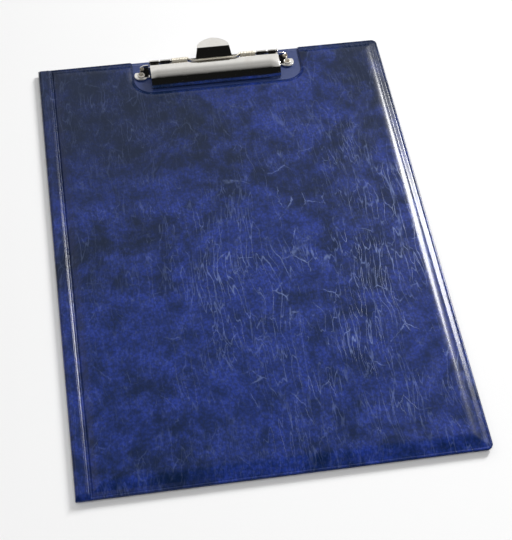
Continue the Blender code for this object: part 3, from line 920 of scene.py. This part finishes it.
# a cover's lining, then the rows that carry it across the spine
def buildLining(name, notched, low, high, zSign, startAcross, columns):
    bm = bmesh.new()
    spread = bm.verts.layers.float_vector.new("spread")
    top = high if zSign > 0 else low

    def placeZ(depth):
        return top - zSign * depth

    rings = []
    for inset, depth in liningShape:
        left = leftX + startAcross + inset * liningSizes["leftShare"] * mm
        notch = inset * liningSizes["notchShare"] * mm if notched else None
        outline = coverOutline(left, inset * mm, inset * mm, notch)
        rings.append([bm.verts.new((x, y, placeZ(depth * mm))) for x, y in outline])
    joinRings(bm, rings)
    fillPanel(bm, rings[-1], outline, placeZ, liningSizes["gridStep"], liningSizes["waviness"])
    line = list(reversed(rings[0][-len(rows):]))
    for x, z in columns:
        grown = [bm.verts.new((x, y, z)) for y in rows]
        joinRows(bm, line, grown)
        line = grown
    for vert in bm.verts:
        vert[spread] = vert.co
    faceAlong(bm, middleFace, zSign)
    piece = addPiece(name, meshFrom(bm, name), plainLining)
    thicken(piece, high - low, -1)
    return piece


frontColumns = [(leftX + a * mm, frontInnerLow[2]) for a in
                (10.4, 9.9, 9.4, 8.9, 8.4, 7.9, 7.4, 6.5, 5.0, 3.0, 1.6)]
frontLining = buildLining("frontLining", True, frontInnerLow[2], frontInnerHigh[2], -1,
                          liningSizes["startFront"], frontColumns)
smoothShade(frontLining, 45)
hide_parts("spine_inner_film", "front_inner_film")
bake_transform(frontLining)

# the rear lining runs round inside the fold and meets the front one
innerTurn = (frontInnerLow[2] - rearInnerHigh[2]) / 2
foldEnd = leftX + liningSizes["foldStart"]
innerFold = [(foldEnd, rearInnerHigh[2])]
innerFold += [(leftX + liningSizes["foldCentre"] + innerTurn * math.cos(a) * liningSizes["foldStretch"],
               foldRadius + innerTurn * math.sin(a))
              for a in [math.radians(-90 - 18 * i) for i in range(11)]]
innerFold += [(foldEnd - liningSizes["foldLap"], frontInnerLow[2])]
rearLining = buildLining("rearLining", False, rearInnerLow[2], rearInnerHigh[2], 1,
                         liningSizes["startRear"], innerFold)
rivetSizes = {"bore": 1.4 * mm, "wall": 0.4 * mm, "ringOut": 2.5 * mm, "ringLift": 0.12 * mm,
              "headThick": 0.25 * mm, "headEdge": 0.1 * mm, "headRound": 0.15 * mm}
tubeRadius = rivetSizes["bore"] + rivetSizes["wall"]
cutRivetHoles(rearLining, tubeRadius + cover["holeGap"])
smoothShade(rearLining, 45)
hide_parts("rear_inner_film")
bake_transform(rearLining)
print("lining made")

# boards with softened edges, inside the films

boardSizes = {"film": 0.42 * mm, "edgeShare": 0.16, "liningGap": 0.05 * mm}


def buildBoard(name, notched, placeZ, innerZ):
    bm = bmesh.new()
    rings = []
    for t in [t for t in shoulderShape if t >= boardSizes["edgeShare"]]:
        outline = shoulderOutline(t, notched)
        if not rings:
            rings.append([bm.verts.new((x, y, innerZ)) for x, y in outline])
        level = placeZ(shoulderDepth(t) + boardSizes["film"])
        rings.append([bm.verts.new((x, y, level)) for x, y in outline])
    joinRings(bm, rings)
    bm.faces.new(rings[-1])
    bm.faces.new(list(reversed(rings[0])))
    return closedPiece(bm, name, greyBoard, 30)


frontBoardPiece = buildBoard("frontBoard", True, onFront, frontInnerHigh[2] + boardSizes["liningGap"])
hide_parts("front_board")
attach(frontBoardPiece, "front_cover")
rearBoardPiece = buildBoard("rearBoard", False, onRear, rearInnerLow[2] - boardSizes["liningGap"])
cutRivetHoles(rearBoardPiece, tubeRadius + cover["holeGap"])
smoothShade(rearBoardPiece, 30)
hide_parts("rear_board")
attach(rearBoardPiece, "rear_cover")
print("boards made")

# clip

clip = {
    "sheet": 0.7 * mm,
    "rim": 0.12 * mm,
    "knuckle": 6.2 * mm,
    "knuckleGap": 0.8 * mm,
    "baseKnuckle": 6.9 * mm,
    "pinClearance": 0.15 * mm,
    "jawBack": 2.4 * mm,
    "jawRise": 0.25 * mm,
    "jawDepth": 13.4 * mm,
    "jawFall": 0.75 * mm,
    "jawCrown": 0.35 * mm,
    "lipReach": 17.1 * mm,
    "lipBend": 0.32 * mm,
    "tabFoot": 24.5 * mm,
    "tabBend": 21.3 * mm,
    "tabRise": 6.5 * mm,
    "tabLean": 3.85 * mm,
    "tabReach": 8.7 * mm,
    "tabDroop": 0.3 * mm,
    "tabTipTurn": 86,
    "tabTipShape": 1.3,
    "tabFootRun": 0.75 * mm,
    "tabFootRise": 0.08 * mm,
    "tabLift": 0.2 * mm,
    "tabBends": (0.5 * mm, 0.38 * mm),
    "lipEnd": 0.2 * mm,
    "lipRun": 0.45 * mm,
    "lipDrop": 0.06 * mm,
    "jawRoll": -255,
    "baseRoll": 290,
    "wallEndGap": 0.9 * mm,
    "wallEndOut": 6.6 * mm,
    "wallChamfer": 2.6 * mm,
    "wallEndDrop": 0.3 * mm,
    "wallLowGap": 0.5 * mm,
    "wallBend": 0.6 * mm,
    "rivetToPin": 4.5 * mm,
    "earRadius": 4.4 * mm,
    "baseDepth": 6.8 * mm,
    "wire": 0.5 * mm,
    "coilClearance": 0.25 * mm,
    "coilPitch": 1.01 * mm,
    "coilTurns": 10,
    "coilEndGap": 0.9 * mm,
    "legFoot": (0.1 * mm, 1.5 * mm),
    "bridgeSetoff": 0.4 * mm,
    "bridgeGap": 0.2 * mm,
    "blendStart": 1.3 * mm,
    "blendEnd": 0.4 * mm,
}
rollRadius = pinRadius + clip["pinClearance"] + clip["sheet"] / 2
baseKnuckleOut = jawHalf - clip["knuckle"] - clip["knuckleGap"]
baseKnuckleIn = baseKnuckleOut - clip["baseKnuckle"]
coilRadius = pinRadius + clip["coilClearance"] + clip["wire"]


def clipVert(bm, x, forward, height):
    return bm.verts.new((clipX + x, pinY - forward, seatZ + height))


def rollPoints(start, sweep, steps=32):
    angles = [math.radians(start + sweep * i / steps) for i in range(steps + 1)]
    return [(rollRadius * math.cos(a), pinHeight + rollRadius * math.sin(a)) for a in angles]


def growRows(bm, firstRow, path, halfWidths=None):
    row = firstRow
    startHalf = max(abs(v.co.x - clipX) for v in firstRow)
    for i, (forward, height) in enumerate(path):
        scale = halfWidths[i] / startHalf if halfWidths else 1
        grown = [clipVert(bm, (v.co.x - clipX) * scale, forward, height) for v in firstRow]
        joinRows(bm, row, grown)
        row = grown
    return row


def buildJaw():
    backHeight = pinHeight + clip["jawRise"]
    frontHeight = backHeight - clip["jawFall"]
    crown = []
    for i in range(13):
        t = i / 12
        forward = clip["jawDepth"] + (clip["jawBack"] - clip["jawDepth"]) * t
        crown.append((forward, frontHeight + clip["jawFall"] * t + clip["jawCrown"] * 4 * t * (1 - t)))
    toe = (clip["lipReach"], clip["lipEnd"])
    corner = (clip["jawDepth"] + clip["lipRun"], frontHeight - clip["lipDrop"])
    path = filletPath([toe, corner] + crown[1:3], [clip["lipBend"], 0.0], 9)[:-1] + crown[2:]
    tabHalf = clip["tabFoot"] / 2
    knuckleIn = jawHalf - clip["knuckle"]
    between = [tabHalf + (knuckleIn - tabHalf) * i / 4 for i in range(1, 4)]
    right = [tabHalf * i / 6 for i in range(1, 7)] + between + [knuckleIn, jawHalf]
    columns = [-x for x in reversed(right)] + [0.0] + right
    bm = bmesh.new()
    back = growRows(bm, [clipVert(bm, x, *path[0]) for x in columns], path[1:])

    # tab: small foot bend, steep neck, then the level half-round top
    foot = (clip["jawBack"] - clip["tabFootRun"], backHeight + clip["tabFootRise"])
    bend = (foot[0] - clip["tabLean"] - clip["tabLift"],
            pinHeight + clip["jawRise"] + clip["tabLift"] + clip["tabRise"])
    tip = (bend[0] - clip["tabReach"], bend[1] - clip["tabDroop"])
    line = filletPath([(clip["jawBack"], backHeight), foot, bend, tip], clip["tabBends"], 9)[1:-1]
    tabPath = []
    halves = []
    for forward, height in line:
        t = min(1.0, max(0.0, (height - foot[1]) / clip["tabRise"]))
        tabPath.append((forward, height))
        halves.append(tabHalf + (clip["tabBend"] / 2 - tabHalf) * t)
    start = tabPath[-1]
    for i in range(1, 19):
        angle = math.radians(clip["tabTipTurn"] * i / 18)
        share = math.sin(angle)
        tabPath.append((start[0] + (tip[0] - start[0]) * share,
                        start[1] + (tip[1] - start[1]) * share ** 2))
        halves.append(clip["tabBend"] / 2 * math.cos(angle) ** clip["tabTipShape"])
    middle = columns.index(0.0)
    growRows(bm, back[middle - 6:middle + 7], tabPath, halves)
    reach = math.hypot(clip["jawBack"], clip["jawRise"])
    tangent = math.degrees(math.atan2(clip["jawRise"], clip["jawBack"]) - math.acos(rollRadius / reach))
    for pair in (back[:2], back[-2:]):
        growRows(bm, pair, rollPoints(tangent, clip["jawRoll"]))
    faceAlong(bm, largestFace)
    piece = addPiece("jawPlate", meshFrom(bm, "jawPlate"), nickelPlate)
    thicken(piece, clip["sheet"], 0, clip["rim"])
    smoothShade(piece, 40)
    return piece


def buildBasePlate():
    lowTop = pinHeight - coilRadius - clip["wire"] - clip["wallLowGap"]
    endOut = jawHalf + clip["wallEndOut"]
    chamfer = clip["wallChamfer"]
    endTop = pinHeight - clip["wallEndDrop"]
    middle = clip["sheet"] / 2
    right = [baseKnuckleIn * i / 4 for i in range(1, 4)]
    right += [baseKnuckleIn, baseKnuckleOut, jawHalf + clip["wallEndGap"], endOut - chamfer, endOut]
    columns = [-x for x in reversed(right)] + [0.0] + right
    last = len(columns) - 1
    bm = bmesh.new()
    bendPath = filletPath([(rollRadius + 1.2 * mm, middle), (rollRadius, middle), (rollRadius, lowTop)],
                          [clip["wallBend"]], 9)
    footLine = [clipVert(bm, x, bendPath[1][0], bendPath[1][1]) for x in columns]
    low = growRows(bm, footLine, bendPath[2:])
    for outer, inside, edge in ((0, 1, 2), (last, last - 1, last - 2)):
        topOuter = clipVert(bm, columns[outer], rollRadius, endTop - chamfer / 2)
        topInner = clipVert(bm, columns[inside], rollRadius, endTop)
        topEdge = clipVert(bm, columns[edge], rollRadius, endTop)
        bm.faces.new((low[outer], low[inside], topInner, topOuter))
        bm.faces.new((low[inside], low[edge], topEdge, topInner))
    for index in (3, last - 4):
        growRows(bm, low[index:index + 2], rollPoints(0, clip["baseRoll"]))
    earX = (rivetXs[1] - rivetXs[0]) / 2
    backReach = (clip["rivetToPin"] - bendPath[1][0]) / clip["earRadius"]
    frontReach = (clip["baseDepth"] - clip["rivetToPin"]) / clip["earRadius"]
    earRight = arcPoints(earX, clip["rivetToPin"], clip["earRadius"], -math.degrees(math.asin(backReach)),
                         180 - math.degrees(math.asin(frontReach)), 30)
    earLeft = [(-x, forward) for x, forward in reversed(earRight)]
    rim = [clipVert(bm, x, forward, middle) for x, forward in earRight + earLeft]
    bm.faces.new(footLine + rim)
    faceAlong(bm, largestFace)
    piece = addPiece("basePlate", meshFrom(bm, "basePlate"), nickelPlate)
    thicken(piece, clip["sheet"], 0, clip["rim"])
    cutRivetHoles(piece, tubeRadius + cover["holeGap"])
    smoothShade(piece, 40)
    return piece


# a round wire along the points, without twist, closed by flat ends
def tubeAlong(points, radius, sides, name, material):
    bm = bmesh.new()
    previous = None
    normal = None
    rings = []
    for i, point in enumerate(points):
        ahead = points[min(i + 1, len(points) - 1)] - points[max(i - 1, 0)]
        direction = ahead.normalized()
        if normal is None:
            normal = direction.orthogonal().normalized()
        else:
            normal = (previous.rotation_difference(direction) @ normal).normalized()
        side = direction.cross(normal).normalized()
        ring = []
        for k in range(sides):
            a = 2 * math.pi * k / sides
            ring.append(bm.verts.new(point + (normal * math.cos(a) + side * math.sin(a)) * radius))
        rings.append(ring)
        previous = direction
    joinRings(bm, rings)
    for ring in (rings[0], rings[-1]):
        bm.faces.new(ring)
    return closedPiece(bm, name, material, 60)


# half of the spring: leg on the base, coil round the pin, then the bridge that presses on the jaw
def springPoints(side):
    coilStart = baseKnuckleIn - clip["coilEndGap"]
    legEnd = (clip["legFoot"][0], clip["legFoot"][1] - pinHeight)
    legLean = math.atan2(legEnd[1], legEnd[0]) - math.acos(coilRadius / math.hypot(*legEnd))
    legAngle = legLean + 2 * math.pi
    bridge = (clip["jawBack"] + clip["bridgeSetoff"],
              clip["jawRise"] + clip["sheet"] / 2 + clip["bridgeGap"] + clip["wire"])
    bridgeAngle = math.atan2(bridge[1], bridge[0]) + math.acos(coilRadius / math.hypot(*bridge))
    sweep = legAngle - bridgeAngle + 2 * math.pi * clip["coilTurns"]
    tangentLeg = (coilRadius * math.cos(legAngle), coilRadius * math.sin(legAngle))
    points = [(coilStart, legEnd[0] + (tangentLeg[0] - legEnd[0]) * t,
               legEnd[1] + (tangentLeg[1] - legEnd[1]) * t) for t in (0.0, 0.3, 0.6, 0.9)]
    steps = round(sweep / math.radians(18))
    for i in range(steps + 1):
        angle = legAngle - sweep * i / steps
        across = coilStart - clip["coilPitch"] * sweep / (2 * math.pi) * i / steps
        points.append((across, coilRadius * math.cos(angle), coilRadius * math.sin(angle)))
    coilEnd = Vector(points[-1])
    corner = Vector((clip["tabFoot"] / 2 - clip["wire"], *bridge))
    ahead = (Vector(points[-1]) - Vector(points[-2])).normalized()
    reach = (corner - coilEnd).length
    for i in range(1, 13):
        t = i / 12
        a = coilEnd + ahead * reach * 0.6 * t
        b = corner + Vector((1, -0.15, 0)) * reach * 0.45 * (1 - t)
        points.append(tuple(a * (1 - t) ** 2 + b * (1 - (1 - t) ** 2)))
    points += [(corner.x * t, corner.y, corner.z) for t in (0.96, 0.6, 0.3, 0.0)]
    return [Vector((clipX + side * across, pinY - forward, pinZ + up)) for across, forward, up in points]


# a hollow rivet turned from one closed profile: flat head below, tube, and the rolled ring above
def buildRivet(name, box):
    low, high = box
    cx, cy = (low[0] + high[0]) / 2, rivetY
    bore, lift = rivetSizes["bore"], rivetSizes["ringLift"]
    edge, corner = rivetSizes["headEdge"], rivetSizes["headRound"]
    headTop = low[2] + rivetSizes["headThick"]
    ringTop = high[2]
    ringLow = seatZ + clip["sheet"] + 0.05 * mm
    profile = [(bore, low[2] + edge), (bore + corner, low[2]), (headRadius - corner, low[2]),
               (headRadius, low[2] + edge), (headRadius - edge, headTop), (tubeRadius, headTop),
               (tubeRadius, ringLow)]
    ringMiddle = (bore + rivetSizes["ringOut"]) / 2
    half = (rivetSizes["ringOut"] - bore) / 2
    for i in range(13):
        angle = math.radians(-15 + 200 * i / 12)
        rise = (ringTop - ringLow - lift) * max(0.0, math.sin(angle))
        profile.append((ringMiddle + half * math.cos(angle), ringLow + lift + rise))
    profile.append((bore - 0.02 * mm, ringLow - 0.3 * mm))
    bm = bmesh.new()
    rings = [[bm.verts.new((cx + x, cy + y, z)) for x, y in circlePoints(radius, 56)]
             for radius, z in profile]
    joinRings(bm, rings + rings[:1])
    return closedPiece(bm, name, rivetNickel, 40)


def buildPin():
    bm = bmesh.new()
    half = (pinHigh[0] - pinLow[0]) / 2
    profile = [(pinRadius * 0.45, -half + 0.03 * mm), (pinRadius * 0.8, -half + 0.12 * mm),
               (pinRadius, -half + 0.35 * mm)]
    profile += [(radius, -along) for radius, along in reversed(profile)]
    rings = [[bm.verts.new((clipX + along, pinY + y, pinZ + z)) for y, z in circlePoints(radius, 40)]
             for radius, along in profile]
    joinRings(bm, rings)
    for ring, along in ((rings[0], -half), (rings[-1], half)):
        tip = bm.verts.new((clipX + along, pinY, pinZ))
        for k, vert in enumerate(ring):
            bm.faces.new((vert, ring[(k + 1) % len(ring)], tip))
    return closedPiece(bm, "pinRod", nickelPlate, 50)


jawPlate = buildJaw()
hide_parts("clip_jaw")
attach(jawPlate, "jaw")

basePlate = buildBasePlate()
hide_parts("clip_base_plate")
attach(basePlate, "rear_cover")

pinRod = buildPin()
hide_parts("hinge_pin")
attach(pinRod, "rear_cover")

for side, name in ((-1, "leftSpring"), (1, "rightSpring")):
    points = springPoints(side)
    spring = tubeAlong(points, clip["wire"], 12, name, springWire)
    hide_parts("clip_spring")
    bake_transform(spring)

rivetNames = (("leftRivet", "left_rivet"), ("rightRivet", "right_rivet"))
for (name, node), box in zip(rivetNames, rivetBoxes):
    rivet = buildRivet(name, box)
    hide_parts(node)
    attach(rivet, "rear_cover")
print("clip made")

# floor and light

floorValues = {"half": 2.6, "color": (0.86, 0.86, 0.86), "roughness": 0.6}


def makeFloor(values):
    bm = bmesh.new()
    half = values["half"]
    bm.faces.new([bm.verts.new((x, y, -0.0001)) for x, y in
                  ((-half, -half), (half, -half), (half, half), (-half, half))])
    material, tree, shader = startMaterial("paleFloor")
    place = addNode(tree, "ShaderNodeTexCoord").outputs["Object"]
    tone = noiseNode(tree, place, 3.0, 2.0)
    darker = tuple(c * 0.985 for c in values["color"])
    base = mixColor(tree, tone.outputs[0], darker, values["color"])
    tree.links.new(base, shader.inputs["Base Color"])
    shader.inputs["Roughness"].default_value = values["roughness"]
    shader.inputs["Specular IOR Level"].default_value = 0.2
    floor = addPiece("paleFloor", meshFrom(bm, "paleFloor"), material)


def makeLamp(name, place, target, width, height, power, mirrored):
    data = bpy.data.lights.new(name, "AREA")
    data.shape = "RECTANGLE"
    data.size = width
    data.size_y = height
    data.energy = power
    lamp = bpy.data.objects.new(name, data)
    lamp.location = place
    lamp.rotation_euler = (Vector(target) - Vector(place)).to_track_quat("-Z", "Y").to_euler()
    lamp.visible_glossy = mirrored
    bpy.context.collection.objects.link(lamp)


lampValues = {
    "key": {"place": (0.98, 1.02, 1.03), "target": (0, 0, 0), "width": 0.28, "height": 0.6, "power": 26.0,
            "mirrored": True},
    "top": {"place": (-0.1, -0.75, 1.5), "target": (0, 0, 0), "width": 1.2, "height": 1.2, "power": 15.5,
            "mirrored": False},
}

# brightness by height at the back of the room; the rest of the room is dark in reflections
skyValues = {
    "low": 0.86,
    "middle": 0.42,
    "high": 0.03,
    "dark": 0.008,
    "seen": 0.93,
    "backSpan": (0.05, 0.4),
    "lowSpan": (0.26, 0.4),
    "middleSpan": (0.74, 0.84),
    "highSpan": (0.86, 0.93),
}


def makeSky(values):
    world = bpy.data.worlds.new("studioSurround")
    bpy.context.scene.world = world
    world.use_nodes = True
    tree = world.node_tree
    tree.nodes.clear()
    direction = addNode(tree, "ShaderNodeTexCoord").outputs["Generated"]
    parts = addNode(tree, "ShaderNodeSeparateXYZ", vector=direction)
    height = parts.outputs["Z"]
    backward = multiply(tree, rampNode(tree, parts.outputs["Y"], *values["backSpan"]),
                        rampNode(tree, height, *values["lowSpan"]))
    toMiddle = rampNode(tree, height, *values["middleSpan"], values["low"], values["middle"])
    toHigh = rampNode(tree, height, *values["highSpan"], toMiddle, values["high"])
    total = spanNode(tree, backward, values["dark"], toHigh)
    reflected = addNode(tree, "ShaderNodeBackground", color=(1, 1, 1, 1), strength=total)
    seen = addNode(tree, "ShaderNodeBackground", color=(1, 1, 1, 1), strength=values["seen"])
    path = addNode(tree, "ShaderNodeLightPath")
    mix = addNode(tree, "ShaderNodeMixShader", i0=path.outputs["Is Camera Ray"],
                  i1=reflected.outputs[0], i2=seen.outputs[0])
    output = addNode(tree, "ShaderNodeOutputWorld")
    tree.links.new(mix.outputs[0], output.inputs["Surface"])


makeFloor(floorValues)
for lampName, lamp in lampValues.items():
    makeLamp(lampName + "Lamp", **lamp)
makeSky(skyValues)
print("floor and light ready")
